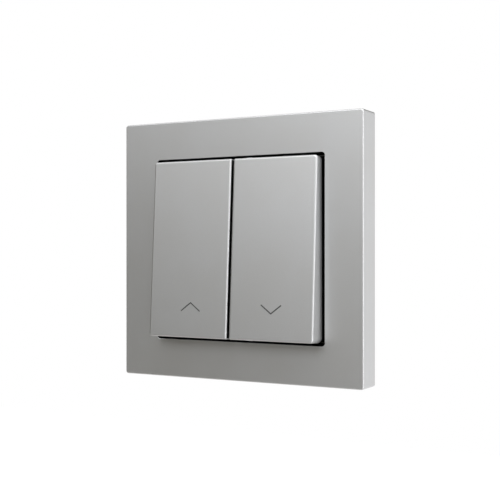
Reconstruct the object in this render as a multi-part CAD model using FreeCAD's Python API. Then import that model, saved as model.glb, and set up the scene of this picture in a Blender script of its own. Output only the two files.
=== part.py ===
import FreeCAD, Part
import math
import os

# Double push button for a flush wall box: two sprung rockers, side by side, in a square cover frame.
# Millimetres. X runs to the right and Z up. Y runs into the wall, whose face is the plane Y = 0.

# Cover frame
FRAME_BORDER = 11.85
FRAME_DRAFT = 0.35
FRAME_DEPTH = 9.7
FRAME_CORNER_R = 0.8
FRAME_EDGE_R = 0.4
FRAME_PLATE = 2.0
FRAME_WALL = 2.4
FRAME_RIB = 1.2
FRAME_RIB_PLACES = (9.0, 26.5)
FRAME_RIB_SETBACK = 0.6
OPENING_CORNER_R = 1.0
OPENING_EDGE_R = 0.15
COLLAR_WALL = 1.8
SCREW_HEAD_ROOM = 10.0
SCREW_HEAD_HEIGHT = 3.0

# Mounting ring, a steel sheet that lies on the wall and is screwed to the box
RING_SHEET = 1.0
RING_FRAME_GAP = 2.7
RING_CHAMFER = 6.0
RING_HOLE_EDGE = 3.8
BOX_HOLE_R = 1.7
TAB_WIDTH = 8.0
TAB_PLACE = 18.0
TAB_RELIEF = 0.6
TAB_GAP = 0.1

# Socket body, the insulating case behind the wall
SOCKET = 43.0
SOCKET_CHAMFER = 7.0
SOCKET_DEPTH = 20.0
SOCKET_WALL = 1.8
SOCKET_FLOOR = 1.8
SOCKET_SHOULDER = 0.8
SOCKET_EDGE_R = 1.0
SOCKET_NECK_GAP = 0.2
SUPPORT_RIB = 1.4
PEG_R = 0.6
PEG_GAP = 0.05

# Bearing plate, which closes the case and carries the axle
PLATE_THICK = 1.2
PLATE_GAP = 0.4
PLATE_CORNER_R = 1.0
PLATE_NOTCH_WIDTH = 8.0
PLATE_NOTCH_DEPTH = 1.2
CHEEK_MID_HALF = 1.4
CHEEK_OUTER = 1.6
CHEEK_CAP_GAP = 0.2
CHEEK_FOOT_HALF = 3.2
CHEEK_TOP_R = 1.9

# Axle and the toggles that turn on it
AXLE_R = 1.0
AXLE_SEAT_GAP = 0.02
AXLE_RUN_GAP = 0.05
HUB_R = 2.0
HUB_PLATE_GAP = 0.2
EAR_WIDTH = 3.0
EAR_FOOT_HALF = 5.0
EAR_SIDE_PLAY = 0.4
TOGGLE_THICK = 1.6
TOGGLE_INSET = 0.4
TOGGLE_HALF_HEIGHT = 17.0
STOP_ARM = 13.0
STOP_R = 1.2
STOP_INSET = 3.6
STOP_GAP = 0.05

# Rocker caps and their travel
REST_TILT = 3.7
PRESS_TRAVEL = 5.0
FACE_PROUD = 4.9
CAP_DROP = 0.45
CAP_END_GAP = 1.2
PAIR_WIDTH = 54.6
PAIR_SIDE_GAP = 1.1
PAIR_GAP = 0.8
CAP_DEPTH = 9.2
CAP_DRAFT = 0.2
CAP_GAP_DRAFT = 0.1
CAP_FACE_THICK = 2.0
CAP_WALL = 1.5
CAP_GAP_WALL = 1.1
CAP_CORNER_FACE_R = 0.9
CAP_CORNER_BASE_R = 1.8
CAP_GAP_CORNER_R = 0.45
CAP_EDGE_R = 0.55
CAP_PAD_HEIGHT = 2.4
CAP_PAD = 3.0
CAP_NOTCH_GAP = 0.6
HOOK_THICK = 1.2
HOOK_WIDTH = 4.0
HOOK_GAP = 0.15
HOOK_BITE = 0.5
HOOK_CATCH = 1.0

# Arrow marks engraved in the caps
MARK_HEIGHT = 2.55
MARK_HALF_WIDTH = 3.25
MARK_LINE = 0.38
MARK_DEPTH = 0.15
MARK_BELOW_MIDDLE = 17.85
MARK_SHIFT_LEFT = 0.95
MARK_SHIFT_RIGHT = 0.1

# Plungers, contact bridges and return springs
PLUNGER_X = 10.5
NOSE_ARM = 12.0
NOSE_R = 1.2
NOSE_WIDTH = 3.0
NOSE_GAP = 0.06
PLUNGER_WIDTH = 5.0
PLUNGER_HEIGHT = 3.6
PLUNGER_GUIDE_GAP = 0.1
PLUNGER_FLANGE = 0.9
PLUNGER_FLANGE_THICK = 1.2
PLUNGER_STOP_GAP = 0.1
PLUNGER_FOOT_R = 3.0
PLUNGER_FOOT_THICK = 1.2
SPIGOT_R = 1.6
SPIGOT_LENGTH = 2.0
BRIDGE_THICK = 0.6
BRIDGE_WIDTH = 3.0
BRIDGE_DEPTH = 1.9
BRIDGE_PLAY = 0.05
CONTACT_ARM = 5.2
CONTACT_R = 1.0
CONTACT_HEIGHT = 0.3
CONTACT_SPARE = 0.08
SPRING_R = 2.5
SPRING_WIRE_R = 0.25
SPRING_TURNS = 6
SPRING_BENDS = 16
SPRING_SEAT_GAP = 0.02
SPRING_TUBE_GAP = 0.35
SPRING_TUBE_WALL = 0.8
SPRING_TUBE_MOUTH = 8.0
SPRING_SEAT = 2.0

# Contact strips and terminals
STRIP_THICK = 0.8
STRIP_WIDTH = 2.6
STRIP_TAIL_WIDTH = 4.0
STRIP_TAIL_SPARE = 0.7
CLAMP_PITCH = 11.5
CLAMP_WIDTH = 7.2
CLAMP_DEPTH = 6.0
CLAMP_LOW = 7.4
CLAMP_SIDE_WALL = 1.3
CLAMP_FLOOR = 1.2
CLAMP_WINDOW = 4.8
CLAMP_TOP_WALL = 2.0
TERMINAL_SCREW_R = 1.5
TERMINAL_SCREW_OPEN = 2.8
TERMINAL_HEAD_R = 2.1
TERMINAL_HEAD_HEIGHT = 1.6
TERMINAL_HEAD_LIFT = 1.2
TERMINAL_SLOT = 0.7
TERMINAL_SLOT_DEPTH = 0.8
DRIVER_HOLE_R = 2.3
WIRE_HOLE_R = 1.5
DIVIDER = 1.2
DIVIDER_LENGTH = 9.0
DIVIDER_SIDE_GAP = 1.0

# Grip ribs, moulded marks and the rating field on the outside of the case
RIB_COUNT = 5
RIB_PITCH = 5.0
RIB_WIDTH = 1.2
RIB_PROUD = 0.5
RIB_END_GAP = 3.0
CASE_MARK_HALF_WIDTH = 2.0
CASE_MARK_HEIGHT = 1.8
CASE_MARK_LINE = 0.6
CASE_MARK_LIFT = 4.6
CASE_MARK_DEPTH = 0.4
FIELD_WIDTH = 26.0
FIELD_HEIGHT = 13.0
FIELD_Z = -8.0

# Screws through the bearing plate into the case
PLATE_SCREW_R = 1.0
PLATE_SCREW_HEAD_R = 1.9
PLATE_SCREW_HEAD_HEIGHT = 1.0
PLATE_SCREW_LENGTH = 9.0
PLATE_SCREW_INSET_X = 5.2
PLATE_SCREW_INSET_Z = 6.2
PLATE_SCREW_RECESS = 0.5
PLATE_SCREW_RECESS_R = 0.9
BOSS_WALL = 1.2
BOSS_SPARE = 1.0
THREAD_GAP = 0.02

# How closely an edge must match a plane or a direction to be picked for rounding
TOUCH = 0.001
ALONG_ANGLE = 8.0

# Sizes, planes and places that follow from the ones above
OPENING = PAIR_WIDTH + 2 * PAIR_SIDE_GAP
CAP_LENGTH = OPENING - 2 * CAP_END_GAP
FRAME_FRONT = OPENING + 2 * FRAME_BORDER
FRAME_BACK = FRAME_FRONT + 2 * FRAME_DRAFT
RING = FRAME_BACK - 2 * FRAME_WALL - 2 * RING_FRAME_GAP
BOX_SCREW_SPACING = RING - 2 * BOX_HOLE_R - 2 * RING_HOLE_EDGE
CHEEK_OUTER_X = PAIR_WIDTH / 2 - CAP_WALL - CHEEK_CAP_GAP - CHEEK_OUTER
FRONT_Y = -FRAME_DEPTH
FACE_Y = FRONT_Y - FACE_PROUD
RING_Y = -RING_SHEET
PLATE_Y = RING_Y - PLATE_THICK
AXLE_Y = PLATE_Y - HUB_R - HUB_PLATE_GAP
FLOOR_Y = SOCKET_DEPTH - SOCKET_FLOOR
TOGGLE_FRONT_Y = FACE_Y + CAP_FACE_THICK + CAP_PAD_HEIGHT
TOGGLE_BACK_Y = TOGGLE_FRONT_Y + TOGGLE_THICK
EAR_LOW_X = CHEEK_MID_HALF + EAR_SIDE_PLAY
EAR_HIGH_X = CHEEK_OUTER_X - EAR_SIDE_PLAY
REST = math.radians(REST_TILT)
PRESSED = math.radians(PRESS_TRAVEL - REST_TILT)
NOSE_REST_Y = AXLE_Y - NOSE_ARM * math.sin(REST)
NOSE_REST_Z = -NOSE_ARM * math.cos(REST)
PLUNGER_TRAVEL = NOSE_ARM * (math.sin(REST) + math.sin(PRESSED))
PLUNGER_Y = NOSE_REST_Y + NOSE_R + NOSE_GAP
PLUNGER_Z = NOSE_REST_Z
BRIDGE_BACK_Y = BRIDGE_DEPTH + BRIDGE_THICK
STRIP_Y = BRIDGE_BACK_Y + PLUNGER_TRAVEL + CONTACT_SPARE + 2 * CONTACT_HEIGHT
STRIP_BACK_Y = STRIP_Y + STRIP_THICK
FOOT_Y = STRIP_BACK_Y + PLUNGER_FOOT_THICK
SPRING_END_Y = FLOOR_Y - SPRING_SEAT
SPRING_BORE_R = SPRING_R + SPRING_WIRE_R + SPRING_TUBE_GAP
SPRING_TUBE_R = SPRING_BORE_R + SPRING_TUBE_WALL
COMMON_Z = PLUNGER_Z - CONTACT_ARM
OUTPUT_Z = PLUNGER_Z + CONTACT_ARM
TAIL_Z = CLAMP_LOW + CLAMP_FLOOR
CLAMP_Y = FLOOR_Y - CLAMP_DEPTH
CLAMP_MID_Y = FLOOR_Y - CLAMP_DEPTH / 2
CLAMP_TOP_Z = TAIL_Z + CLAMP_WINDOW + CLAMP_TOP_WALL
WIRE_Z = TAIL_Z + STRIP_THICK + TERMINAL_SCREW_OPEN / 2
SCREW_X = SOCKET / 2 - PLATE_SCREW_INSET_X
SCREW_Z = SOCKET / 2 - PLATE_SCREW_INSET_Z
OPENING_HALF = OPENING / 2
COLLAR_HALF = OPENING_HALF + COLLAR_WALL
POCKET_HALF = FRAME_BACK / 2 - FRAME_WALL
SIDES = {"left": -1, "right": 1}
CLAMPS = {"left": -CLAMP_PITCH, "common": 0.0, "right": CLAMP_PITCH}


def box(x_low, x_high, y_low, y_high, z_low, z_high):
    corner = FreeCAD.Vector(x_low, y_low, z_low)
    return Part.makeBox(x_high - x_low, y_high - y_low, z_high - z_low, corner)


def rod(axis, radius, low, high, a, b):
    """A cylinder along an axis from low to high; a and b are its other two coordinates."""
    place = {"x": (low, a, b), "y": (a, low, b), "z": (a, b, low)}[axis]
    way = {"x": (1, 0, 0), "y": (0, 1, 0), "z": (0, 0, 1)}[axis]
    return Part.makeCylinder(radius, high - low, FreeCAD.Vector(*place), FreeCAD.Vector(*way))


def prism(axis, outline, low, high):
    """A closed outline of points, extruded along X or Y. The points are (Y, Z) for X and (X, Z) for Y."""
    if axis == "x":
        points = [FreeCAD.Vector(low, a, b) for a, b in outline]
        way = FreeCAD.Vector(high - low, 0, 0)
    else:
        points = [FreeCAD.Vector(a, low, b) for a, b in outline]
        way = FreeCAD.Vector(0, high - low, 0)
    return Part.Face(Part.makePolygon(points + points[:1])).extrude(way)


def edges_along_y(shape):
    """The straight edges that run from front to back, at most a few degrees off the Y axis."""
    least = math.cos(math.radians(ALONG_ANGLE))
    return [e for e in shape.Edges if abs(e.tangentAt(e.FirstParameter).y) > least]


def edges_at_y(shape, y):
    return [e for e in shape.Edges if all(abs(v.Y - y) < TOUCH for v in e.Vertexes)]


def square(half, low, high, corner_r):
    """A square block about the middle, with rounded corners."""
    block = box(-half, half, low, high, -half, half)
    return block.makeFillet(corner_r, edges_along_y(block))


def octagon(half, chamfer, low, high):
    """A square block about the middle, with its corners cut off."""
    edge = half - chamfer
    outline = [(edge, -half), (half, -edge), (half, edge), (edge, half)]
    outline += [(-x, -z) for x, z in outline]
    return prism("y", outline, low, high)


def arrow(half_width, height, line, x, z, point):
    """The outline of a plain arrow head of even line width, pointing up for 1 and down for -1."""
    slope = height / half_width
    lift = line / 2 * math.hypot(1, slope)
    across = line / 2 * slope / math.hypot(1, slope)
    along = line / 2 / math.hypot(1, slope)
    outline = [(0, height / 2 + lift), (half_width + across, along - height / 2),
               (half_width - across, -along - height / 2), (0, height / 2 - lift),
               (across - half_width, -along - height / 2), (-half_width - across, along - height / 2)]
    return [(x + a, z + point * b) for a, b in outline]


def turned(shape, quarter_turns):
    copy = shape.copy()
    copy.rotate(FreeCAD.Vector(0, 0, 0), FreeCAD.Vector(0, 1, 0), 90 * quarter_turns)
    return copy


def on_four_sides(shape):
    return [turned(shape, quarter) for quarter in range(4)]


def at_rest(shape):
    """Turn a piece of a rocker from upright to its rest, bottom edge out."""
    shape.rotate(FreeCAD.Vector(0, AXLE_Y, 0), FreeCAD.Vector(1, 0, 0), -REST_TILT)
    return shape


def save(name, shape):
    shape.exportStep("parts/" + name + ".step")
    print(name, len(shape.Solids), "solid", round(shape.Volume, 2), "mm3", shape.isValid())


def cover_frame():
    front = FRAME_FRONT / 2
    back = FRAME_BACK / 2
    frame = Part.makeWedge(-front, FRONT_Y, -front, -back, -back, front, 0, front, back, back)
    frame = frame.makeFillet(FRAME_CORNER_R, edges_along_y(frame))
    frame = frame.makeFillet(FRAME_EDGE_R, edges_at_y(frame, FRONT_Y))
    window = square(OPENING_HALF, FRONT_Y, 0, OPENING_CORNER_R)
    frame = frame.cut(window)
    rim = [e for e in edges_at_y(frame, FRONT_Y) if e.BoundBox.DiagonalLength < OPENING
           and max(abs(e.CenterOfMass.x), abs(e.CenterOfMass.z)) < OPENING_HALF + TOUCH]
    frame = frame.makeFillet(OPENING_EDGE_R, rim)
    pocket = square(POCKET_HALF, FRONT_Y + FRAME_PLATE, 0, FRAME_CORNER_R)
    collar = square(COLLAR_HALF, FRONT_Y + FRAME_PLATE, RING_Y, OPENING_CORNER_R)
    frame = frame.cut(pocket.cut(collar))
    head_half = SCREW_HEAD_ROOM / 2
    notch = box(OPENING_HALF, COLLAR_HALF, RING_Y - SCREW_HEAD_HEIGHT, RING_Y, -head_half, head_half)
    frame = frame.cut(on_four_sides(notch))
    ribs = []
    for place in FRAME_RIB_PLACES:
        for z in (-place, place):
            rib = box(COLLAR_HALF, POCKET_HALF, FRONT_Y + FRAME_PLATE, RING_Y - FRAME_RIB_SETBACK,
                      z - FRAME_RIB / 2, z + FRAME_RIB / 2)
            ribs += on_four_sides(rib)
    return frame.fuse(ribs).removeSplitter()


def mounting_ring():
    half = RING / 2
    sheet = octagon(half, RING_CHAMFER, RING_Y, 0)
    neck_half = SOCKET / 2 - SOCKET_SHOULDER + SOCKET_NECK_GAP
    sheet = sheet.cut(octagon(neck_half, SOCKET_CHAMFER, RING_Y, 0))
    sheet = sheet.cut(on_four_sides(rod("y", BOX_HOLE_R, RING_Y, 0, BOX_SCREW_SPACING / 2, 0)))
    tab_low = COLLAR_HALF + TAB_GAP
    tab_high = tab_low + RING_SHEET
    tab_top = RING_Y - (half - tab_high)
    for z in (-TAB_PLACE, TAB_PLACE):
        relief_half = TAB_WIDTH / 2 + TAB_RELIEF
        relief = box(tab_high, half, RING_Y, 0, z - relief_half, z + relief_half)
        sheet = sheet.cut(on_four_sides(relief))
        tab = box(tab_low, tab_high, tab_top, 0, z - TAB_WIDTH / 2, z + TAB_WIDTH / 2)
        outer_bend = [e for e in tab.Edges if abs(e.CenterOfMass.x - tab_high) < TOUCH
                      and abs(e.CenterOfMass.y) < TOUCH]
        tab = tab.makeFillet(RING_SHEET / 2, outer_bend)
        sheet = sheet.fuse(on_four_sides(tab))
    return sheet.removeSplitter()


def strip_supports():
    """Ribs that stand on the case's floor and carry the contact strips, with pegs through the strips."""
    half = SUPPORT_RIB / 2
    bar = PLUNGER_X + STRIP_WIDTH / 2
    shapes = [box(-bar, bar, STRIP_BACK_Y, FLOOR_Y, COMMON_Z - STRIP_WIDTH / 2, COMMON_Z),
              box(-half, half, STRIP_BACK_Y, FLOOR_Y, COMMON_Z, 0)]
    pegs = [(0, COMMON_Z / 2)]
    for side in SIDES.values():
        x = side * PLUNGER_X
        shapes.append(box(x - half, x + half, STRIP_BACK_Y, FLOOR_Y, OUTPUT_Z, 0))
        pegs.append((x, OUTPUT_Z / 2))
    for x, z in pegs:
        shapes.append(rod("y", PEG_R, STRIP_Y - PEG_R, FLOOR_Y, x, z))
    return shapes


def socket_body():
    half = SOCKET / 2
    body = octagon(half, SOCKET_CHAMFER, 0, SOCKET_DEPTH)
    body = body.makeFillet(SOCKET_EDGE_R, edges_at_y(body, SOCKET_DEPTH))
    body = body.fuse(octagon(half - SOCKET_SHOULDER, SOCKET_CHAMFER, RING_Y, SOCKET_FLOOR))
    body = body.cut(octagon(half - SOCKET_WALL, SOCKET_CHAMFER, RING_Y, FLOOR_Y))
    added = strip_supports()
    bore_end = PLATE_Y + PLATE_SCREW_LENGTH + BOSS_SPARE
    divider_top = half - SOCKET_WALL
    for side in SIDES.values():
        added.append(rod("y", SPRING_TUBE_R, SPRING_TUBE_MOUTH, FLOOR_Y, side * PLUNGER_X, PLUNGER_Z))
        for up in (-1, 1):
            added.append(rod("y", PLATE_SCREW_R + BOSS_WALL, RING_Y, bore_end + BOSS_WALL,
                             side * SCREW_X, up * SCREW_Z))
        divider_x = side * CLAMP_PITCH / 2
        added.append(box(divider_x - DIVIDER / 2, divider_x + DIVIDER / 2, FLOOR_Y - DIVIDER_LENGTH, FLOOR_Y,
                         CLAMP_LOW - DIVIDER_SIDE_GAP, divider_top))
    limit = octagon(half - SOCKET_SHOULDER, SOCKET_CHAMFER, RING_Y, FLOOR_Y)
    body = body.fuse([piece.common(limit) for piece in added])
    holes = []
    for side in SIDES.values():
        holes.append(rod("y", SPRING_BORE_R, RING_Y, SPRING_END_Y, side * PLUNGER_X, PLUNGER_Z))
        for up in (-1, 1):
            holes.append(rod("y", PLATE_SCREW_R + THREAD_GAP, RING_Y, bore_end,
                             side * SCREW_X, up * SCREW_Z))
    for x in CLAMPS.values():
        holes.append(rod("y", WIRE_HOLE_R, FLOOR_Y, SOCKET_DEPTH, x, WIRE_Z))
        holes.append(rod("z", DRIVER_HOLE_R, CLAMP_TOP_Z, half, x, CLAMP_MID_Y))
    return body.fuse(grip_ribs()).cut(holes + case_marks()).removeSplitter()


def grip_ribs():
    """Low ribs along the left and right flanks of the case."""
    half = SOCKET / 2
    ribs = []
    for step in range(RIB_COUNT):
        z = (step - (RIB_COUNT - 1) / 2) * RIB_PITCH
        for side in SIDES.values():
            wall = sorted((side * (half - SOCKET_WALL / 2), side * (half + RIB_PROUD)))
            ribs.append(box(*wall, RIB_END_GAP, SOCKET_DEPTH - RIB_END_GAP,
                            z - RIB_WIDTH / 2, z + RIB_WIDTH / 2))
    return ribs


def case_marks():
    """Cutters for the back of the case: a mark above each wire hole, and a sunk field for the rating."""
    low = SOCKET_DEPTH - CASE_MARK_DEPTH
    z = WIRE_Z + CASE_MARK_LIFT
    marks = [box(-CASE_MARK_HALF_WIDTH, CASE_MARK_HALF_WIDTH, low, SOCKET_DEPTH,
                 z - CASE_MARK_LINE / 2, z + CASE_MARK_LINE / 2)]
    for side_name, point in (("left", 1), ("right", -1)):
        outline = arrow(CASE_MARK_HALF_WIDTH, CASE_MARK_HEIGHT, CASE_MARK_LINE, CLAMPS[side_name], z, point)
        marks.append(prism("y", outline, low, SOCKET_DEPTH))
    marks.append(box(-FIELD_WIDTH / 2, FIELD_WIDTH / 2, low, SOCKET_DEPTH, FIELD_Z - FIELD_HEIGHT / 2,
                     FIELD_Z + FIELD_HEIGHT / 2))
    return marks


def cheek(x_low, x_high):
    """One bearing block: a foot on the plate, narrowing to a round top about the axle."""
    outline = [(PLATE_Y, -CHEEK_FOOT_HALF), (PLATE_Y, CHEEK_FOOT_HALF),
               (AXLE_Y, CHEEK_TOP_R), (AXLE_Y, -CHEEK_TOP_R)]
    return prism("x", outline, x_low, x_high).fuse(rod("x", CHEEK_TOP_R, x_low, x_high, AXLE_Y, 0))


def bearing_plate():
    half = OPENING_HALF - PLATE_GAP
    plate = square(half, PLATE_Y, RING_Y, PLATE_CORNER_R)
    notch_half = PLATE_NOTCH_WIDTH / 2
    notch = box(half - PLATE_NOTCH_DEPTH, half, PLATE_Y, RING_Y, -notch_half, notch_half)
    plate = plate.cut(on_four_sides(notch))
    plate = plate.fuse([cheek(-CHEEK_MID_HALF, CHEEK_MID_HALF),
                        cheek(CHEEK_OUTER_X, CHEEK_OUTER_X + CHEEK_OUTER),
                        cheek(-CHEEK_OUTER_X - CHEEK_OUTER, -CHEEK_OUTER_X)])
    holes = [rod("x", AXLE_R + AXLE_SEAT_GAP, -half, half, AXLE_Y, 0)]
    for side in SIDES.values():
        x = side * PLUNGER_X
        wide = PLUNGER_WIDTH / 2 + PLUNGER_GUIDE_GAP
        high = PLUNGER_HEIGHT / 2 + PLUNGER_GUIDE_GAP
        holes.append(box(x - wide, x + wide, PLATE_Y, RING_Y, PLUNGER_Z - high, PLUNGER_Z + high))
        for up in (-1, 1):
            holes.append(plate_screw_body(side * SCREW_X, up * SCREW_Z, THREAD_GAP))
    return plate.cut(holes).removeSplitter()


def plate_screw_body(x, z, gap):
    """A countersunk head, flush with the plate, and its shank. The gap widens it into its own hole."""
    way = FreeCAD.Vector(0, 1, 0)
    head = Part.makeCone(PLATE_SCREW_HEAD_R + gap, PLATE_SCREW_R + gap, PLATE_SCREW_HEAD_HEIGHT,
                         FreeCAD.Vector(x, PLATE_Y, z), way)
    return head.fuse(rod("y", PLATE_SCREW_R + gap, PLATE_Y, PLATE_Y + PLATE_SCREW_LENGTH, x, z))


def plate_screw(x, z):
    body = plate_screw_body(x, z, 0)
    bottom = PLATE_Y + PLATE_SCREW_HEAD_HEIGHT
    arm = PLATE_SCREW_RECESS_R
    half = PLATE_SCREW_RECESS / 2
    recess = [box(x - arm, x + arm, PLATE_Y, bottom, z - half, z + half),
              box(x - half, x + half, PLATE_Y, bottom, z - arm, z + arm)]
    return body.cut(recess).removeSplitter()


def axle():
    end = CHEEK_OUTER_X + CHEEK_OUTER
    return rod("x", AXLE_R, -end, end, AXLE_Y, 0)


def stop_post(x, z, turn):
    """A post on the toggle. Its round tip meets the bearing plate once the rocker has turned this far."""
    tip_y = PLATE_Y - STOP_GAP - STOP_R - AXLE_Y
    neutral_y = (tip_y + z * math.sin(turn)) / math.cos(turn)
    post = box(x - STOP_R, x + STOP_R, TOGGLE_BACK_Y, AXLE_Y + neutral_y, z - STOP_R, z + STOP_R)
    return post.fuse(rod("x", STOP_R, x - STOP_R, x + STOP_R, AXLE_Y + neutral_y, z))


def toggle(side):
    low = EAR_LOW_X + TOGGLE_INSET
    high = EAR_HIGH_X
    body = box(low, high, TOGGLE_FRONT_Y, TOGGLE_BACK_Y, -TOGGLE_HALF_HEIGHT, TOGGLE_HALF_HEIGHT)
    added = []
    for ear_low in (EAR_LOW_X, EAR_HIGH_X - EAR_WIDTH):
        outline = [(TOGGLE_BACK_Y, -EAR_FOOT_HALF), (TOGGLE_BACK_Y, EAR_FOOT_HALF),
                   (AXLE_Y, HUB_R), (AXLE_Y, -HUB_R)]
        added.append(prism("x", outline, ear_low, ear_low + EAR_WIDTH))
        added.append(rod("x", HUB_R, ear_low, ear_low + EAR_WIDTH, AXLE_Y, 0))
    added.append(box(EAR_LOW_X, low, TOGGLE_BACK_Y - TOGGLE_THICK / 2, TOGGLE_BACK_Y,
                     -EAR_FOOT_HALF, EAR_FOOT_HALF))
    nose_low = PLUNGER_X - NOSE_WIDTH / 2
    nose_high = PLUNGER_X + NOSE_WIDTH / 2
    added.append(box(nose_low, nose_high, TOGGLE_BACK_Y, AXLE_Y, -NOSE_ARM - NOSE_R, -NOSE_ARM + NOSE_R))
    added.append(rod("x", NOSE_R, nose_low, nose_high, AXLE_Y, -NOSE_ARM))
    for x in (EAR_LOW_X + STOP_INSET, EAR_HIGH_X - STOP_INSET):
        added.append(stop_post(x, STOP_ARM, -REST))
        added.append(stop_post(x, -STOP_ARM, PRESSED))
    body = body.fuse(added)
    body = body.cut(rod("x", AXLE_R + AXLE_RUN_GAP, 0, EAR_HIGH_X, AXLE_Y, 0)).removeSplitter()
    if side < 0:
        body = body.mirror(FreeCAD.Vector(0, 0, 0), FreeCAD.Vector(1, 0, 0))
    return at_rest(body)


def cap_block(inset_outer, inset_gap, inset_ends, face_y, base_y):
    """The drafted block of one cap, on the right of the gap; insets make the hollow inside it."""
    rim_y = FACE_Y + CAP_DEPTH
    sides = []
    for y in (face_y, base_y):
        spread = CAP_DRAFT * (y - FACE_Y) / (rim_y - FACE_Y)
        gap_spread = CAP_GAP_DRAFT * (y - FACE_Y) / (rim_y - FACE_Y)
        sides.append((PAIR_GAP / 2 - gap_spread + inset_gap, PAIR_WIDTH / 2 + spread - inset_outer,
                      CAP_LENGTH / 2 + spread - inset_ends))
    (x1, x2, z1), (x3, x4, z2) = sides
    return Part.makeWedge(x1, face_y, -z1, -z2, x3, x2, base_y, z1, z2, x4)


def rocker(side, mark_shift, point):
    rim_y = FACE_Y + CAP_DEPTH
    cap = cap_block(0, 0, 0, FACE_Y, rim_y)
    middle_x = (PAIR_GAP / 2 + PAIR_WIDTH / 2) / 2
    uprights = edges_along_y(cap)
    cap = cap.makeFillet(CAP_GAP_CORNER_R, [e for e in uprights if e.CenterOfMass.x < middle_x])
    uprights = [e for e in edges_along_y(cap) if e.CenterOfMass.x > middle_x + CAP_GAP_CORNER_R
                and e.Length < CAP_DEPTH + CAP_EDGE_R]
    cap = cap.makeFillet(CAP_CORNER_FACE_R, CAP_CORNER_BASE_R, uprights)
    cap = cap.makeFillet(CAP_EDGE_R, edges_at_y(cap, FACE_Y))
    hollow = cap_block(CAP_WALL, CAP_GAP_WALL, CAP_WALL, FACE_Y + CAP_FACE_THICK, rim_y)
    cap = cap.cut(hollow)
    cap.translate(FreeCAD.Vector(0, 0, -CAP_DROP))
    ceiling_y = FACE_Y + CAP_FACE_THICK
    added = []
    plate_low = EAR_LOW_X + TOGGLE_INSET
    for x in (plate_low + STOP_INSET + HOOK_WIDTH / 2, EAR_HIGH_X - STOP_INSET - HOOK_WIDTH / 2):
        for up in (-1, 1):
            inner = TOGGLE_HALF_HEIGHT + HOOK_GAP
            leg = sorted((up * inner, up * (inner + HOOK_THICK)))
            bite = sorted((up * (TOGGLE_HALF_HEIGHT - HOOK_BITE), up * (inner + HOOK_THICK)))
            hook_end = TOGGLE_BACK_Y + HOOK_CATCH
            added.append(box(x - HOOK_WIDTH / 2, x + HOOK_WIDTH / 2, ceiling_y, hook_end, *leg))
            added.append(box(x - HOOK_WIDTH / 2, x + HOOK_WIDTH / 2, TOGGLE_BACK_Y, hook_end, *bite))
            pad_z = up * (TOGGLE_HALF_HEIGHT - CAP_PAD)
            added.append(box(x - CAP_PAD / 2, x + CAP_PAD / 2, ceiling_y, TOGGLE_FRONT_Y,
                             pad_z - CAP_PAD / 2, pad_z + CAP_PAD / 2))
    cap = cap.fuse(added)
    notch_half = CHEEK_FOOT_HALF + CAP_NOTCH_GAP
    cap = cap.cut(box(0, CHEEK_MID_HALF + CAP_GAP_WALL, AXLE_Y - CHEEK_TOP_R - CAP_NOTCH_GAP, rim_y,
                      -notch_half, notch_half))
    if side < 0:
        cap = cap.mirror(FreeCAD.Vector(0, 0, 0), FreeCAD.Vector(1, 0, 0))
    mark = arrow(MARK_HALF_WIDTH, MARK_HEIGHT, MARK_LINE, side * middle_x + mark_shift,
                 -MARK_BELOW_MIDDLE - CAP_DROP, point)
    cap = cap.cut(prism("y", mark, FACE_Y - MARK_DEPTH, FACE_Y + MARK_DEPTH))
    return at_rest(cap.removeSplitter())


def plunger(side):
    x = side * PLUNGER_X
    wide = PLUNGER_WIDTH / 2
    high = PLUNGER_HEIGHT / 2
    flange_y = RING_Y + PLUNGER_STOP_GAP
    body = box(x - wide, x + wide, PLUNGER_Y, FOOT_Y, PLUNGER_Z - high, PLUNGER_Z + high)
    body = body.fuse([
        box(x - wide - PLUNGER_FLANGE, x + wide + PLUNGER_FLANGE, flange_y, flange_y + PLUNGER_FLANGE_THICK,
            PLUNGER_Z - high - PLUNGER_FLANGE, PLUNGER_Z + high + PLUNGER_FLANGE),
        rod("y", PLUNGER_FOOT_R, FOOT_Y - PLUNGER_FOOT_THICK, FOOT_Y, x, PLUNGER_Z),
        rod("y", SPIGOT_R, FOOT_Y, FOOT_Y + SPIGOT_LENGTH, x, PLUNGER_Z)])
    slot_half = BRIDGE_WIDTH / 2 + BRIDGE_PLAY
    slot = box(x - slot_half, x + slot_half, BRIDGE_DEPTH, BRIDGE_BACK_Y + BRIDGE_PLAY,
               PLUNGER_Z - high, PLUNGER_Z + high)
    return body.cut(slot).removeSplitter()


def contact_bridge(side):
    x = side * PLUNGER_X
    half = BRIDGE_WIDTH / 2
    reach = CONTACT_ARM + half
    bridge = box(x - half, x + half, BRIDGE_DEPTH, BRIDGE_BACK_Y, PLUNGER_Z - reach, PLUNGER_Z + reach)
    button_y = BRIDGE_BACK_Y + CONTACT_HEIGHT
    buttons = [rod("y", CONTACT_R, BRIDGE_DEPTH, button_y, x, z) for z in (COMMON_Z, OUTPUT_Z)]
    return bridge.fuse(buttons).removeSplitter()


def return_spring(side):
    """A round wire wound about the Y axis, between the plunger's foot and the bottom of its tube."""
    first = FOOT_Y + SPRING_WIRE_R + SPRING_SEAT_GAP
    last = SPRING_END_Y - SPRING_WIRE_R - SPRING_SEAT_GAP
    count = SPRING_TURNS * SPRING_BENDS
    middle = FreeCAD.Vector(side * PLUNGER_X, 0, PLUNGER_Z)
    points = []
    for i in range(count + 1):
        angle = 2 * math.pi * i / SPRING_BENDS
        y = first + (last - first) * i / count
        points.append(middle + FreeCAD.Vector(SPRING_R * math.cos(angle), y, SPRING_R * math.sin(angle)))
    wire_end = Part.Wire(Part.makeCircle(SPRING_WIRE_R, points[0], points[1] - points[0]))
    coil = Part.makePolygon(points).makePipeShell([wire_end], True, False, 1)
    return Part.Solid(coil) if coil.ShapeType != "Solid" else coil


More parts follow.
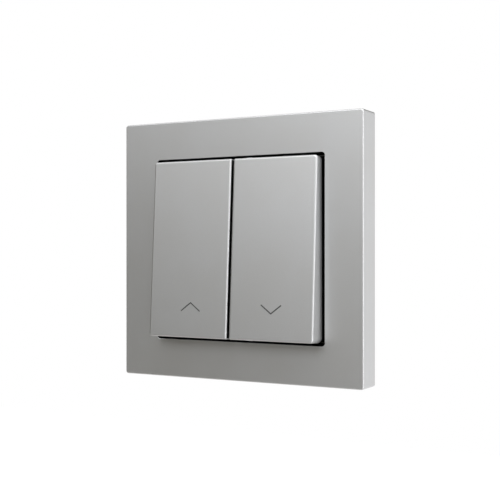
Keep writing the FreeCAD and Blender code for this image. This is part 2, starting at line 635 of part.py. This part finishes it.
def strip_tail(x):
    """The end of a contact strip: it turns away from the front and runs into its clamp."""
    half = STRIP_TAIL_WIDTH / 2
    return box(x - half, x + half, STRIP_Y, FLOOR_Y - STRIP_TAIL_SPARE, TAIL_Z, TAIL_Z + STRIP_THICK)


def output_contact(side):
    x = side * PLUNGER_X
    end = side * CLAMP_PITCH
    half = STRIP_WIDTH / 2
    tail_low = min(x - half, end - STRIP_TAIL_WIDTH / 2)
    tail_high = max(x + half, end + STRIP_TAIL_WIDTH / 2)
    strip = box(x - half, x + half, STRIP_Y, STRIP_BACK_Y, OUTPUT_Z - half, TAIL_Z + STRIP_THICK)
    strip = strip.fuse([
        box(tail_low, tail_high, STRIP_Y, STRIP_BACK_Y, TAIL_Z - STRIP_TAIL_WIDTH / 2, TAIL_Z + STRIP_THICK),
        strip_tail(end),
        rod("y", CONTACT_R, STRIP_Y - CONTACT_HEIGHT, STRIP_BACK_Y, x, OUTPUT_Z)])
    return strip.cut(rod("y", PEG_R + PEG_GAP, STRIP_Y, STRIP_BACK_Y, x, OUTPUT_Z / 2)).removeSplitter()


def common_contact():
    half = STRIP_WIDTH / 2
    bar = PLUNGER_X + half
    strip = box(-bar, bar, STRIP_Y, STRIP_BACK_Y, COMMON_Z - half, COMMON_Z + half)
    leg = STRIP_TAIL_WIDTH / 2
    added = [box(-leg, leg, STRIP_Y, STRIP_BACK_Y, COMMON_Z, TAIL_Z + STRIP_THICK), strip_tail(0.0)]
    for side in SIDES.values():
        added.append(rod("y", CONTACT_R, STRIP_Y - CONTACT_HEIGHT, STRIP_BACK_Y, side * PLUNGER_X, COMMON_Z))
    strip = strip.fuse(added)
    return strip.cut(rod("y", PEG_R + PEG_GAP, STRIP_Y, STRIP_BACK_Y, 0, COMMON_Z / 2)).removeSplitter()


def terminal_clamp(x):
    half = CLAMP_WIDTH / 2
    window = half - CLAMP_SIDE_WALL
    cage = box(x - half, x + half, CLAMP_Y, FLOOR_Y, CLAMP_LOW, CLAMP_TOP_Z)
    cage = cage.makeFillet(CLAMP_FLOOR / 2, edges_along_y(cage))
    cage = cage.cut(box(x - window, x + window, CLAMP_Y, FLOOR_Y, TAIL_Z, TAIL_Z + CLAMP_WINDOW))
    return cage.cut(rod("z", TERMINAL_SCREW_R + THREAD_GAP, TAIL_Z, CLAMP_TOP_Z, x, CLAMP_MID_Y))


def terminal_screw(x):
    tip = TAIL_Z + STRIP_THICK + TERMINAL_SCREW_OPEN
    head = CLAMP_TOP_Z + TERMINAL_HEAD_LIFT
    top = head + TERMINAL_HEAD_HEIGHT
    screw = rod("z", TERMINAL_SCREW_R, tip, head, x, CLAMP_MID_Y)
    screw = screw.fuse(rod("z", TERMINAL_HEAD_R, head, top, x, CLAMP_MID_Y))
    slot = box(x - TERMINAL_HEAD_R, x + TERMINAL_HEAD_R, CLAMP_MID_Y - TERMINAL_SLOT / 2,
               CLAMP_MID_Y + TERMINAL_SLOT / 2, top - TERMINAL_SLOT_DEPTH, top)
    return screw.cut(slot).removeSplitter()


os.makedirs("parts", exist_ok=True)
save("cover_frame", cover_frame())
save("mounting_ring", mounting_ring())
save("socket_body", socket_body())
save("bearing_plate", bearing_plate())
save("pivot_axle", axle())
save("rocker_left", rocker(-1, MARK_SHIFT_LEFT, 1))
save("rocker_right", rocker(1, MARK_SHIFT_RIGHT, -1))
for side_name, side_sign in SIDES.items():
    save("toggle_" + side_name, toggle(side_sign))
    save("plunger_" + side_name, plunger(side_sign))
    save("contact_bridge_" + side_name, contact_bridge(side_sign))
    save("return_spring_" + side_name, return_spring(side_sign))
    save("output_contact_" + side_name, output_contact(side_sign))
    save("plate_screw_top_" + side_name, plate_screw(side_sign * SCREW_X, SCREW_Z))
    save("plate_screw_bottom_" + side_name, plate_screw(side_sign * SCREW_X, -SCREW_Z))
save("common_contact", common_contact())
for clamp_name, clamp_x in CLAMPS.items():
    save("terminal_clamp_" + clamp_name, terminal_clamp(clamp_x))
    save("terminal_screw_" + clamp_name, terminal_screw(clamp_x))
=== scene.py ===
import math
from functools import cached_property

import bpy
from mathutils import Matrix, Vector


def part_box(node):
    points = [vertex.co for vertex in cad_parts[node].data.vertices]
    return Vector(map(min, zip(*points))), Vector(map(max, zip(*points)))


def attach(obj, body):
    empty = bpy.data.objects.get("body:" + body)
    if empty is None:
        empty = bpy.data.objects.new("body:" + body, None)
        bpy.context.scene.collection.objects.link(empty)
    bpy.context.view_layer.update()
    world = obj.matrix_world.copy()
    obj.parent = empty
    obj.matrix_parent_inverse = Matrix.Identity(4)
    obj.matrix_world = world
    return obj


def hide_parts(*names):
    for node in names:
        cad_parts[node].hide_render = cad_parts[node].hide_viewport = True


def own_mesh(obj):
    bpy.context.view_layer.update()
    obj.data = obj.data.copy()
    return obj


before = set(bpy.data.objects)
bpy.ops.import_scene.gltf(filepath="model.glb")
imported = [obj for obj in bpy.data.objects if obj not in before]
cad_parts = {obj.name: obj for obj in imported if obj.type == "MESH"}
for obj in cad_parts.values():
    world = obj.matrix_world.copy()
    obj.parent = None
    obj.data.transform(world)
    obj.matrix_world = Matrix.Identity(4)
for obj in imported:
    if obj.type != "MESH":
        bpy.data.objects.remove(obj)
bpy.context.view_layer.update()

MM = 0.001

# Planes and sizes of the solids, in millimetres and degrees
FRONT_Y = -9.7
FRAME_PLATE = 2.0
POCKET_HALF = 38.2
OPENING_HALF = 28.4
AXLE_Y = -4.4
FACE_Y = -14.6
REST_TILT = 3.7
CAP_GAP_X = 0.41
MARK_DEPTH = 0.15
MARK_X = 13.9
MARK_Z = -18.3
MARK_FIELD = 5.5
CASE_SCREW_R = 1.0
TERMINAL_SCREW_R = 1.5
TERMINAL_HEAD = 1.6

# Coils and threads, in millimetres; the steps are those of one turn
SPRING_R = 2.5
SPRING_WIRE_R = 0.25
SPRING_TURNS = 6.0
SPRING_WIRE_SIDES = 12
SPRING_STEPS = 32
CASE_SCREW_PITCH = 0.8
TERMINAL_SCREW_PITCH = 0.5
THREAD_RUNOUT = 2.0
THREAD_HEIGHT = 0.12
THREAD_OPEN_TURN = 0.5
THREAD_SIDES = 4
THREAD_STEPS = 24
LEVEL_COIL = (-math.pi / 2, 0.0, 0.0)
UPRIGHT_COIL = (0.0, 0.0, 0.0)

# Satin lacquer: grain sizes and depths in millimetres
FRAME_PAINT = 0.605
# The rockers wear the frame's lacquer, set about 6% darker here as painted shade
ROCKER_PAINT_SHADED = 0.57
PAINT_CLOUD = 18.0
PAINT_CHANGE = 0.015
PAINT_PALER_TINT = (0.995, 1.0, 1.01)
PAINT_METALLIC = 0.96
PAINT_ROUGH = (0.44, 0.50)
PAINT_SHINE = 0.12
FLAKE = 0.12
FLAKE_GREY = 0.82
FLAKE_SHARE = 0.16
FLAKE_DEPTH = 0.002
FLAKE_RELIEF = 0.35
WAVE = 0.9
WAVE_DEPTH = 0.004
WAVE_RELIEF = 0.6
# Near black, rougher and not metallic: the frame's unpainted back, and painted shade in the gaps round and
# between the caps
BARE_AND_SHADE_GREY = 0.004
BARE_AND_SHADE_ROUGHER = 0.12
INK_GREY = 0.11

# Where the paint stops, where the painted shade in the gaps begins, and where the mark's ink lies: a margin
# and depths, in millimetres
HAIR = 0.05
OPENING_FADE = (0.08, 0.2)
CAP_FADE = (0.15, 0.45)
GAP_FADE = (0.3, 0.5)
INK_FROM = 0.03
INK_TO = 1.5 * MARK_DEPTH

# Plastic and bare metal: grain sizes and depths in millimetres
PLASTIC_CLOUD = 9.0
PLASTIC_PALER = 1.12
PLASTIC_GRAIN = 0.25
PLASTIC_DEPTH = 0.01
PLASTIC_RELIEF = 0.7
PLASTIC_ROUGH_SPREAD = (-0.05, 0.07)
METAL_CLOUD = 5.0
METAL_LINES = 0.35
METAL_LINE_SHARE = 0.25
METAL_LINE_DARKER = 0.55
METAL_DEPTH = 0.006
METAL_RELIEF = 0.5
METAL_ROUGH_SPREAD = (-0.06, 0.1)

# Parts of a noise's range that a finish spreads over: most of it, its upper part, its peaks
MOST = (0.3, 0.7)
UPPER = (0.35, 0.75)
PEAKS = (0.4, 0.8)

# Camera, in metres, millimetres and degrees
CAMERA_PLACE = (0.11554, -0.24422, -0.00023)
CAMERA_TURN = 25.36
CAMERA_LENS = 61.66
CAMERA_SENSOR = 36.0
CAMERA_REACH = (0.01, 20.0)

# Lamps: name, place and size in metres, power in watts
SOFTBOXES = (
    ("front_softbox", (-0.08, -1.5, 0.89), (0.6, 0.75), 8.8),
    ("top_softbox", (0.20, -0.30, 0.90), (0.6, 0.5), 4.5),
    ("right_softbox", (0.93, -0.30, 0.20), (0.25, 1.2), 3.0),
)
LAMP_COLOUR = (0.96, 0.98, 1.0)
AMBIENT = 0.35

# The room, in metres
FLOOR_LEVEL = -1.0
FLOOR_HALF = 4.0
FLOOR_GREY = 0.86
FLOOR_ROUGH = 0.9
FLOOR_GLOW = 0.75
DIM = (0.075, 0.068, 0.045, 1.0)
PALE = (0.70, 0.685, 0.66, 1.0)

# Dark cards in front, at the left, underneath, and above the back: name, two opposite corners,
# colour, and fades to white as axis, start and end
DARK_CARDS = (
    ("card_front", (-1.8, -1.5, -0.95), (0.8, -1.5, 0.60), DIM, (("X", -0.1, 0.8), ("Z", 0.42, 0.60))),
    ("card_left", (-1.8, -1.5, -0.95), (-1.8, 1.0, 0.95), DIM, ()),
    ("card_under", (-1.8, -1.5, -0.95), (1.2, 1.2, -0.95), PALE, (("X", -0.4, 0.6),)),
    ("card_above", (-2.5, 0.25, 1.1), (2.0, 2.6, 1.1), DIM, ()),
)


def grey(level, tint=(1.0, 1.0, 1.0)):
    return (level * tint[0], level * tint[1], level * tint[2], 1.0)


def scaled(colour, factor):
    return tuple(min(part * factor, 1.0) for part in colour[:3]) + (1.0,)


def plug(tree, value, socket):
    """Link an output to this input, or set the input to a plain value."""
    if isinstance(value, bpy.types.NodeSocket):
        tree.links.new(value, socket)
    else:
        socket.default_value = value


class Finish:
    """A material under construction, with short ways to add nodes to it."""

    def __init__(self, name):
        self.material = bpy.data.materials.new(name)
        self.material.use_nodes = True
        self.tree = self.material.node_tree
        self.shader = self.tree.nodes["Principled BSDF"]
        self.surface = self.tree.nodes["Material Output"].inputs["Surface"]

    @cached_property
    def place(self):
        return self.add("ShaderNodeTexCoord").outputs["Object"]

    def add(self, kind, **settings):
        node = self.tree.nodes.new(kind)
        for key, value in settings.items():
            setattr(node, key, value)
        return node

    def feed(self, node, **values):
        """Set or link inputs by name; underscores in a name stand for spaces."""
        for key, value in values.items():
            plug(self.tree, value, node.inputs[key.replace("_", " ")])
        return node

    def calc(self, operation, first, second=0.0):
        node = self.add("ShaderNodeMath", operation=operation)
        for socket, value in zip(node.inputs, (first, second)):
            plug(self.tree, value, socket)
        return node.outputs[0]

    def both(self, first, second):
        return self.calc("MULTIPLY", first, second)

    def either(self, first, second):
        return self.calc("MAXIMUM", first, second)

    def span(self, value, low, high, to_low=0.0, to_high=1.0):
        node = self.add("ShaderNodeMapRange", interpolation_type="SMOOTHSTEP")
        self.feed(node, Value=value, From_Min=low, From_Max=high, To_Min=to_low, To_Max=to_high)
        return node.outputs["Result"]

    def blend(self, amount, first, second):
        node = self.add("ShaderNodeMix", data_type="RGBA")
        for number, value in ((0, amount), (6, first), (7, second)):
            plug(self.tree, value, node.inputs[number])
        return node.outputs[2]

    def noise(self, size_mm, detail, stretch=(1.0, 1.0, 1.0)):
        mapping = self.add("ShaderNodeMapping")
        self.feed(mapping, Vector=self.place, Scale=stretch)
        node = self.add("ShaderNodeTexNoise")
        self.feed(node, Vector=mapping.outputs[0], Scale=1.0 / (size_mm * MM), Detail=detail)
        return node.outputs["Fac"]

    def bump(self, height, depth_mm, strength, under=None):
        node = self.add("ShaderNodeBump")
        self.feed(node, Height=height, Distance=depth_mm * MM, Strength=strength)
        if under is not None:
            self.feed(node, Normal=under)
        return node.outputs["Normal"]

    def axes(self):
        return self.feed(self.add("ShaderNodeSeparateXYZ"), Vector=self.place).outputs


def lacquer(name, level, bare_and_shade, ink=None):
    """Satin aluminium lacquer on a black moulding.

    bare_and_shade gives 1 where the moulding shows near black: left unpainted on the frame's hollow back,
    and as painted shade in the gaps round and between the caps. ink gives 1 where a mark is filled with
    dark grey.
    """
    made = Finish(name)
    bare_and_shade_mask = bare_and_shade(made)
    cloud = made.noise(PAINT_CLOUD, detail=3.0)
    flakes = made.noise(FLAKE, detail=1.0)
    darker = grey(level * (1.0 - PAINT_CHANGE))
    paler = grey(level * (1.0 + PAINT_CHANGE), PAINT_PALER_TINT)
    paint = made.blend(made.span(cloud, *MOST), darker, paler)
    paint = made.blend(made.span(flakes, *UPPER, 0.0, FLAKE_SHARE), paint, grey(FLAKE_GREY))
    metallic = made.both(made.calc("SUBTRACT", 1.0, bare_and_shade_mask), PAINT_METALLIC)
    if ink is not None:
        filled = ink(made)
        paint = made.blend(filled, paint, grey(INK_GREY))
        metallic = made.both(metallic, made.calc("SUBTRACT", 1.0, filled))
    # Painted shade: near black in the gaps round and between the caps, and the frame's unpainted back
    colour = made.blend(bare_and_shade_mask, paint, grey(BARE_AND_SHADE_GREY))
    rough = made.calc("ADD", made.span(flakes, *MOST, *PAINT_ROUGH), made.both(bare_and_shade_mask, BARE_AND_SHADE_ROUGHER))
    skin = made.bump(made.noise(WAVE, detail=2.0), WAVE_DEPTH, WAVE_RELIEF)
    skin = made.bump(flakes, FLAKE_DEPTH, FLAKE_RELIEF, skin)
    made.feed(made.shader, Base_Color=colour, Metallic=metallic, Roughness=rough, Normal=skin)
    made.shader.inputs["Specular IOR Level"].default_value = PAINT_SHINE
    return made.material


def frame_bare_and_gap_shade(made):
    """The hollow back is left unpainted; the walls of the opening get painted shade, near black from just
    behind the front.
    """
    x, y, z = made.axes()
    out = made.either(made.calc("ABSOLUTE", x), made.calc("ABSOLUTE", z))
    start, stop = OPENING_FADE
    # Painted shade: the walls of the opening turn near black from just behind the front
    opening = made.both(made.calc("LESS_THAN", out, (OPENING_HALF + HAIR) * MM),
                        made.span(y, (FRONT_Y + start) * MM, (FRONT_Y + stop) * MM))
    hollow = made.both(made.calc("LESS_THAN", out, (POCKET_HALF + HAIR) * MM),
                       made.calc("GREATER_THAN", y, (FRONT_Y + FRAME_PLATE - HAIR) * MM))
    return made.either(opening, hollow)


def cap_depth(made):
    """How far a point lies behind the flat face of its cap."""
    _, y, z = made.axes()
    tilt = math.radians(REST_TILT)
    from_axle = made.calc("SUBTRACT", y, AXLE_Y * MM)
    depth = made.calc("ADD", made.calc("MULTIPLY", from_axle, math.cos(tilt)),
                      made.calc("MULTIPLY", z, -math.sin(tilt)))
    return made.calc("SUBTRACT", depth, (FACE_Y - AXLE_Y) * MM)


def cap_gap_shade(made):
    """Painted shade: near black a little below the frame's front, and on the walls of the gap between the
    caps.
    """
    x, y, _ = made.axes()
    start, stop = CAP_FADE
    inside = made.span(y, (FRONT_Y + start) * MM, (FRONT_Y + stop) * MM)
    start, stop = GAP_FADE
    near_gap = made.span(made.calc("ABSOLUTE", x), CAP_GAP_X * MM, (CAP_GAP_X + HAIR) * MM, 1.0, 0.0)
    gap = made.both(near_gap, made.span(cap_depth(made), start * MM, stop * MM))
    return made.either(inside, gap)


def mark_ink(made):
    """Below the flat face of the cap, away from its rounded edges, only the engraved mark has a surface."""
    x, _, z = made.axes()
    depth = cap_depth(made)
    below = made.both(made.calc("GREATER_THAN", depth, INK_FROM * MM),
                      made.calc("LESS_THAN", depth, INK_TO * MM))
    across = made.calc("ABSOLUTE", made.calc("SUBTRACT", made.calc("ABSOLUTE", x), MARK_X * MM))
    along = made.calc("ABSOLUTE", made.calc("SUBTRACT", z, MARK_Z * MM))
    near = made.both(made.calc("LESS_THAN", across, MARK_FIELD * MM),
                     made.calc("LESS_THAN", along, MARK_FIELD * MM))
    return made.both(below, near)


def rough_range(rough, spread):
    return rough + spread[0], rough + spread[1]


def plastic(name, colour, rough, shine=0.45):
    """Moulded plastic with a fine grain and slightly paler patches."""
    made = Finish(name)
    cloud = made.noise(PLASTIC_CLOUD, detail=3.0)
    grain = made.noise(PLASTIC_GRAIN, detail=3.0)
    tone = made.blend(made.span(cloud, *MOST), colour, scaled(colour, PLASTIC_PALER))
    made.feed(made.shader, Base_Color=tone,
              Roughness=made.span(grain, *MOST, *rough_range(rough, PLASTIC_ROUGH_SPREAD)),
              Normal=made.bump(grain, PLASTIC_DEPTH, PLASTIC_RELIEF))
    made.shader.inputs["Specular IOR Level"].default_value = shine
    return made.material


def metal(name, colour, dull, rough, stretch):
    """Bare or plated sheet and wire: drawn or rolled lines, with duller patches."""
    made = Finish(name)
    lines = made.noise(METAL_LINES, detail=3.0, stretch=stretch)
    cloud = made.noise(METAL_CLOUD, detail=4.0)
    tone = made.blend(made.span(cloud, *UPPER), colour, dull)
    tone = made.blend(made.span(lines, *PEAKS, 0.0, METAL_LINE_SHARE), tone,
                      scaled(colour, METAL_LINE_DARKER))
    made.feed(made.shader, Base_Color=tone,
              Roughness=made.span(lines, *MOST, *rough_range(rough, METAL_ROUGH_SPREAD)),
              Normal=made.bump(lines, METAL_DEPTH, METAL_RELIEF))
    made.shader.inputs["Metallic"].default_value = 1.0
    return made.material


def set_camera():
    data = bpy.data.cameras.new("camera")
    data.lens = CAMERA_LENS
    data.sensor_width = CAMERA_SENSOR
    data.clip_start, data.clip_end = CAMERA_REACH
    camera = bpy.data.objects.new("camera", data)
    camera.location = CAMERA_PLACE
    camera.rotation_euler = (math.radians(90.0), 0.0, math.radians(CAMERA_TURN))
    bpy.context.collection.objects.link(camera)
    bpy.context.scene.camera = camera


def softbox(name, place, size, power):
    """A soft lamp that points at the object."""
    data = bpy.data.lights.new(name, "AREA")
    data.shape = "RECTANGLE"
    data.size, data.size_y = size
    data.energy = power
    data.color = LAMP_COLOUR
    lamp = bpy.data.objects.new(name, data)
    lamp.location = place
    lamp.rotation_euler = (-Vector(place)).to_track_quat("-Z", "Y").to_euler()
    bpy.context.collection.objects.link(lamp)


def white_for_view(tree, plain, white, surface):
    """White where the camera, a mirror or glass looks; the plain level elsewhere."""
    path = tree.nodes.new("ShaderNodeLightPath")
    seen = path.outputs["Is Camera Ray"]
    for other in ("Is Glossy Ray", "Is Transmission Ray"):
        either = tree.nodes.new("ShaderNodeMath")
        either.operation = "MAXIMUM"
        tree.links.new(seen, either.inputs[0])
        tree.links.new(path.outputs[other], either.inputs[1])
        seen = either.outputs[0]
    mix = tree.nodes.new("ShaderNodeMixShader")
    for source, socket in zip((seen, plain, white), mix.inputs):
        tree.links.new(source, socket)
    tree.links.new(mix.outputs[0], surface)


def set_world():
    world = bpy.data.worlds.new("white studio")
    world.use_nodes = True
    tree = world.node_tree
    plain = tree.nodes["Background"]
    white = tree.nodes.new("ShaderNodeBackground")
    for node, strength in ((plain, AMBIENT), (white, 1.0)):
        node.inputs["Color"].default_value = grey(1.0)
        node.inputs["Strength"].default_value = strength
    white_for_view(tree, plain.outputs[0], white.outputs[0], tree.nodes["World Output"].inputs["Surface"])
    bpy.context.scene.world = world


def panel(name, low, high):
    """A flat rectangle between two opposite corners that share one coordinate."""
    flat = [axis for axis in range(3) if low[axis] == high[axis]][0]
    across, along = [axis for axis in range(3) if axis != flat]
    corners = []
    for first, second in ((low, low), (high, low), (high, high), (low, high)):
        corner = list(low)
        corner[across] = first[across]
        corner[along] = second[along]
        corners.append(corner)
    mesh = bpy.data.meshes.new(name)
    mesh.from_pydata(corners, [], [(0, 1, 2, 3)])
    thing = bpy.data.objects.new(name, mesh)
    bpy.context.collection.objects.link(thing)
    return thing


def set_floor():
    floor = panel("floor", (-FLOOR_HALF, -FLOOR_HALF, FLOOR_LEVEL), (FLOOR_HALF, FLOOR_HALF, FLOOR_LEVEL))
    made = Finish("pale floor")
    made.feed(made.shader, Base_Color=grey(FLOOR_GREY), Roughness=FLOOR_ROUGH)
    glow = made.feed(made.add("ShaderNodeEmission"), Strength=FLOOR_GLOW)
    lit = made.add("ShaderNodeAddShader")
    made.tree.links.new(made.shader.outputs[0], lit.inputs[0])
    made.tree.links.new(glow.outputs[0], lit.inputs[1])
    white_for_view(made.tree, made.shader.outputs[0], lit.outputs[0], made.surface)
    floor.data.materials.append(made.material)


def dark_card(name, low, high, colour, fades):
    """A dim part of the room that only reflections see. Each fade brightens it to white along an axis."""
    card = panel(name, low, high)
    card.visible_camera = False
    card.visible_diffuse = False
    card.visible_shadow = False
    made = Finish(name)
    made.tree.nodes.remove(made.shader)
    white = 0.0
    for axis, start, stop in fades:
        white = made.either(white, made.span(made.axes()[axis], start, stop))
    glow = made.feed(made.add("ShaderNodeEmission"), Color=made.blend(white, colour, grey(1.0)))
    made.tree.links.new(glow.outputs[0], made.surface)
    card.data.materials.append(made.material)


def coil_tree():
    """Geometry Nodes that put a coil at each point of a mesh.

    The named sizes make it a spring or a screw's thread. Returns the tree and each input's identifier.
    """
    tree = bpy.data.node_groups.new("coil", "GeometryNodeTree")
    inputs = {}
    tree.interface.new_socket("Points", in_out="INPUT", socket_type="NodeSocketGeometry")
    for name, kind in (("Radius", "Float"), ("Wire Radius", "Float"), ("Turns", "Float"),
                       ("Height", "Float"), ("Wire Sides", "Int"), ("Steps", "Int"),
                       ("Rotation", "Vector"), ("Material", "Material")):
        socket = tree.interface.new_socket(name, in_out="INPUT", socket_type="NodeSocket" + kind)
        inputs[name] = socket.identifier
    tree.interface.new_socket("Geometry", in_out="OUTPUT", socket_type="NodeSocketGeometry")
    nodes = tree.nodes
    given = nodes.new("NodeGroupInput")
    spiral = nodes.new("GeometryNodeCurveSpiral")
    ring = nodes.new("GeometryNodeCurvePrimitiveCircle")
    sweep = nodes.new("GeometryNodeCurveToMesh")
    smooth = nodes.new("GeometryNodeSetShadeSmooth")
    place = nodes.new("GeometryNodeInstanceOnPoints")
    real = nodes.new("GeometryNodeRealizeInstances")
    coat = nodes.new("GeometryNodeSetMaterial")
    result = nodes.new("NodeGroupOutput")
    sweep.inputs["Fill Caps"].default_value = True
    for source, target in ((given.outputs["Steps"], spiral.inputs["Resolution"]),
                           (given.outputs["Turns"], spiral.inputs["Rotations"]),
                           (given.outputs["Radius"], spiral.inputs["Start Radius"]),
                           (given.outputs["Radius"], spiral.inputs["End Radius"]),
                           (given.outputs["Height"], spiral.inputs["Height"]),
                           (given.outputs["Wire Sides"], ring.inputs["Resolution"]),
                           (given.outputs["Wire Radius"], ring.inputs["Radius"]),
                           (spiral.outputs[0], sweep.inputs["Curve"]),
                           (ring.outputs[0], sweep.inputs["Profile Curve"]),
                           (sweep.outputs[0], smooth.inputs["Geometry"]),
                           (given.outputs["Points"], place.inputs["Points"]),
                           (smooth.outputs[0], place.inputs["Instance"]),
                           (given.outputs["Rotation"], place.inputs["Rotation"]),
                           (place.outputs[0], real.inputs[0]),
                           (real.outputs[0], coat.inputs["Geometry"]),
                           (given.outputs["Material"], coat.inputs["Material"]),
                           (coat.outputs[0], result.inputs[0])):
        tree.links.new(source, target)
    return tree, inputs


def grown(name, coil, sizes, points):
    """Run the coil's tree on these points and return one plain mesh object."""
    tree, inputs = coil
    seed_mesh = bpy.data.meshes.new("seed")
    seed_mesh.from_pydata(points, [], [])
    seed = bpy.data.objects.new("seed", seed_mesh)
    bpy.context.collection.objects.link(seed)
    modifier = seed.modifiers.new("grow", "NODES")
    modifier.node_group = tree
    for key, value in sizes.items():
        modifier[inputs[key]] = value
    made = bpy.data.meshes.new_from_object(seed.evaluated_get(bpy.context.evaluated_depsgraph_get()))
    bpy.data.objects.remove(seed)
    thing = bpy.data.objects.new(name, made)
    bpy.context.collection.objects.link(thing)
    return thing


def add_springs(coil, material):
    """A round coil takes the place of each spring."""
    wire = SPRING_WIRE_R * MM
    for side in ("left", "right"):
        node = "return_spring_" + side
        low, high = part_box(node)
        middle = (low + high) / 2
        spring = grown("coil_spring_" + side, coil,
                       {"Radius": SPRING_R * MM, "Wire Radius": wire, "Turns": SPRING_TURNS,
                        "Height": high.y - low.y - 2 * wire, "Wire Sides": SPRING_WIRE_SIDES,
                        "Steps": SPRING_STEPS, "Rotation": LEVEL_COIL, "Material": material},
                       [(middle.x, low.y + wire, middle.z)])
        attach(spring, "wall_unit")
        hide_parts(node)
        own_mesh(spring)


def screw_thread(name, coil, radius, pitch, length, turn, material, points):
    """One thread on each of these points, round a shank of this radius in millimetres."""
    thread = grown(name, coil,
                   {"Radius": radius * MM, "Wire Radius": THREAD_HEIGHT * MM,
                    "Turns": length / (pitch * MM) - THREAD_OPEN_TURN,
                    "Height": length - THREAD_HEIGHT * MM, "Wire Sides": THREAD_SIDES,
                    "Steps": THREAD_STEPS, "Rotation": turn, "Material": material},
                   points)
    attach(thread, "wall_unit")


def add_threads(coil, material):
    """Threads round the shanks of the case screws and of the terminal screws."""
    screws = [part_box(name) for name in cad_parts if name.startswith("plate_screw_")]
    low, high = screws[0]
    start = low.y + THREAD_RUNOUT * MM
    screw_thread("case_screw_threads", coil, CASE_SCREW_R, CASE_SCREW_PITCH, high.y - start,
                 LEVEL_COIL, material,
                 [((a.x + b.x) / 2, start, (a.z + b.z) / 2) for a, b in screws])
    screws = [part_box(name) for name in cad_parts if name.startswith("terminal_screw_")]
    low, high = screws[0]
    screw_thread("terminal_screw_threads", coil, TERMINAL_SCREW_R, TERMINAL_SCREW_PITCH,
                 high.z - low.z - TERMINAL_HEAD * MM, UPRIGHT_COIL, material,
                 [((a.x + b.x) / 2, (a.y + b.y) / 2, a.z + THREAD_HEIGHT * MM) for a, b in screws])


# Camera, room and lamps, then the finishes, then the coils
bpy.context.scene.view_settings.view_transform = "Standard"
set_camera()
set_world()
set_floor()
for card in DARK_CARDS:
    dark_card(*card)
for lamp in SOFTBOXES:
    softbox(*lamp)

lacquer_frame = lacquer("satin lacquer, frame", FRAME_PAINT, frame_bare_and_gap_shade)
lacquer_cap = lacquer("satin lacquer, rocker", ROCKER_PAINT_SHADED, cap_gap_shade, mark_ink)
zinc = metal("zinc plated steel", grey(0.60, (0.98, 1.0, 1.02)), dull=grey(0.50, (1.0, 1.0, 0.97)),
             rough=0.34, stretch=(1.0, 1.0, 0.12))
steel = metal("polished steel", grey(0.63), dull=grey(0.55),
              rough=0.22, stretch=(0.05, 1.0, 1.0))
copper = metal("copper alloy", (0.80, 0.47, 0.30, 1.0), dull=(0.66, 0.38, 0.24, 1.0),
               rough=0.30, stretch=(1.0, 1.0, 0.15))
brass = metal("brass", (0.78, 0.62, 0.32, 1.0), dull=(0.66, 0.50, 0.26, 1.0),
              rough=0.30, stretch=(0.15, 1.0, 1.0))
case_grey = plastic("light grey plastic", grey(0.42, (0.98, 1.0, 1.02)), rough=0.48)
black = plastic("black plastic", grey(0.006), rough=0.5, shine=0.2)
white = plastic("white plastic", grey(0.72, (1.0, 0.995, 0.97)), rough=0.38)

NODE_FINISHES = {
    "cover_frame": lacquer_frame,
    "rocker_": lacquer_cap,
    "mounting_ring": zinc,
    "plate_screw_": zinc,
    "terminal_screw_": zinc,
    "pivot_axle": steel,
    "return_spring_": steel,
    "socket_body": case_grey,
    "bearing_plate": black,
    "toggle_": black,
    "plunger_": white,
    "contact_bridge_": copper,
    "output_contact_": copper,
    "common_contact": copper,
    "terminal_clamp_": brass,
}

for node_name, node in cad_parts.items():
    finish = next(kept for start, kept in NODE_FINISHES.items() if node_name.startswith(start))
    for slot in node.material_slots:
        slot.material = finish

coil = coil_tree()
add_springs(coil, steel)
add_threads(coil, zinc)
